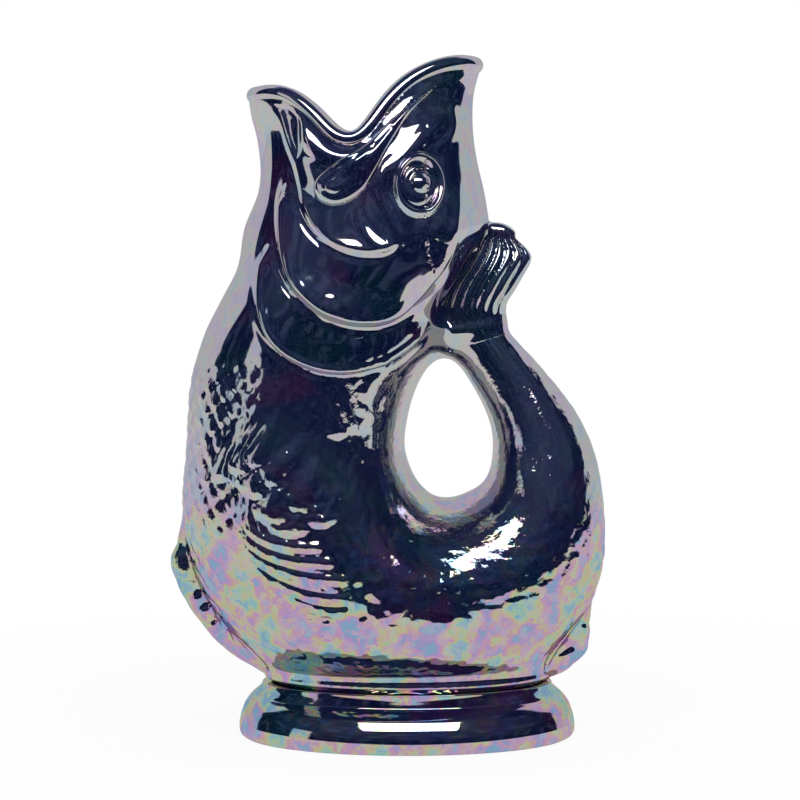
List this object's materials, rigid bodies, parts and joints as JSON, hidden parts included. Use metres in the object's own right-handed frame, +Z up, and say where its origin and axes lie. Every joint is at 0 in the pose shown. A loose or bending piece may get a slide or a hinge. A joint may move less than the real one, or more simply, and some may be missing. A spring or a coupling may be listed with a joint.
{
  "type": "gurgle jug",
  "caption": "Fish shaped ceramic jug on an oval foot, poured from its open mouth, with a hollow tail as its handle.",
  "frame": {"origin": "centre of the oval foot, on the face that it stands on", "axes": "+Z up, +X from the belly to the tail handle, +Y from the fish's left side to its right side"},
  "size_m": [0.1602, 0.1042, 0.2503],
  "materials": {
    "lustre_glaze": "dark navy glaze with an iridescent lustre, glossy"
  },
  "bodies": {
    "root": {"foot": "lustre_glaze", "belly_shell": "lustre_glaze", "head_shell": "lustre_glaze", "tail_handle": "lustre_glaze", "tail_fin": "lustre_glaze", "mouth_rim": "lustre_glaze", "ventral_fin": "lustre_glaze", "anal_fin": "lustre_glaze", "gill_cover_left": "lustre_glaze", "gill_cover_right": "lustre_glaze", "gill_flap_left": "lustre_glaze", "gill_flap_right": "lustre_glaze", "jaw_flap_left": "lustre_glaze", "jaw_flap_right": "lustre_glaze", "eye_left": "lustre_glaze", "eye_right": "lustre_glaze", "eye_ring_left": "lustre_glaze", "eye_ring_right": "lustre_glaze", "side_fin_left": "lustre_glaze", "side_fin_right": "lustre_glaze"}
  },
  "joints": []
}
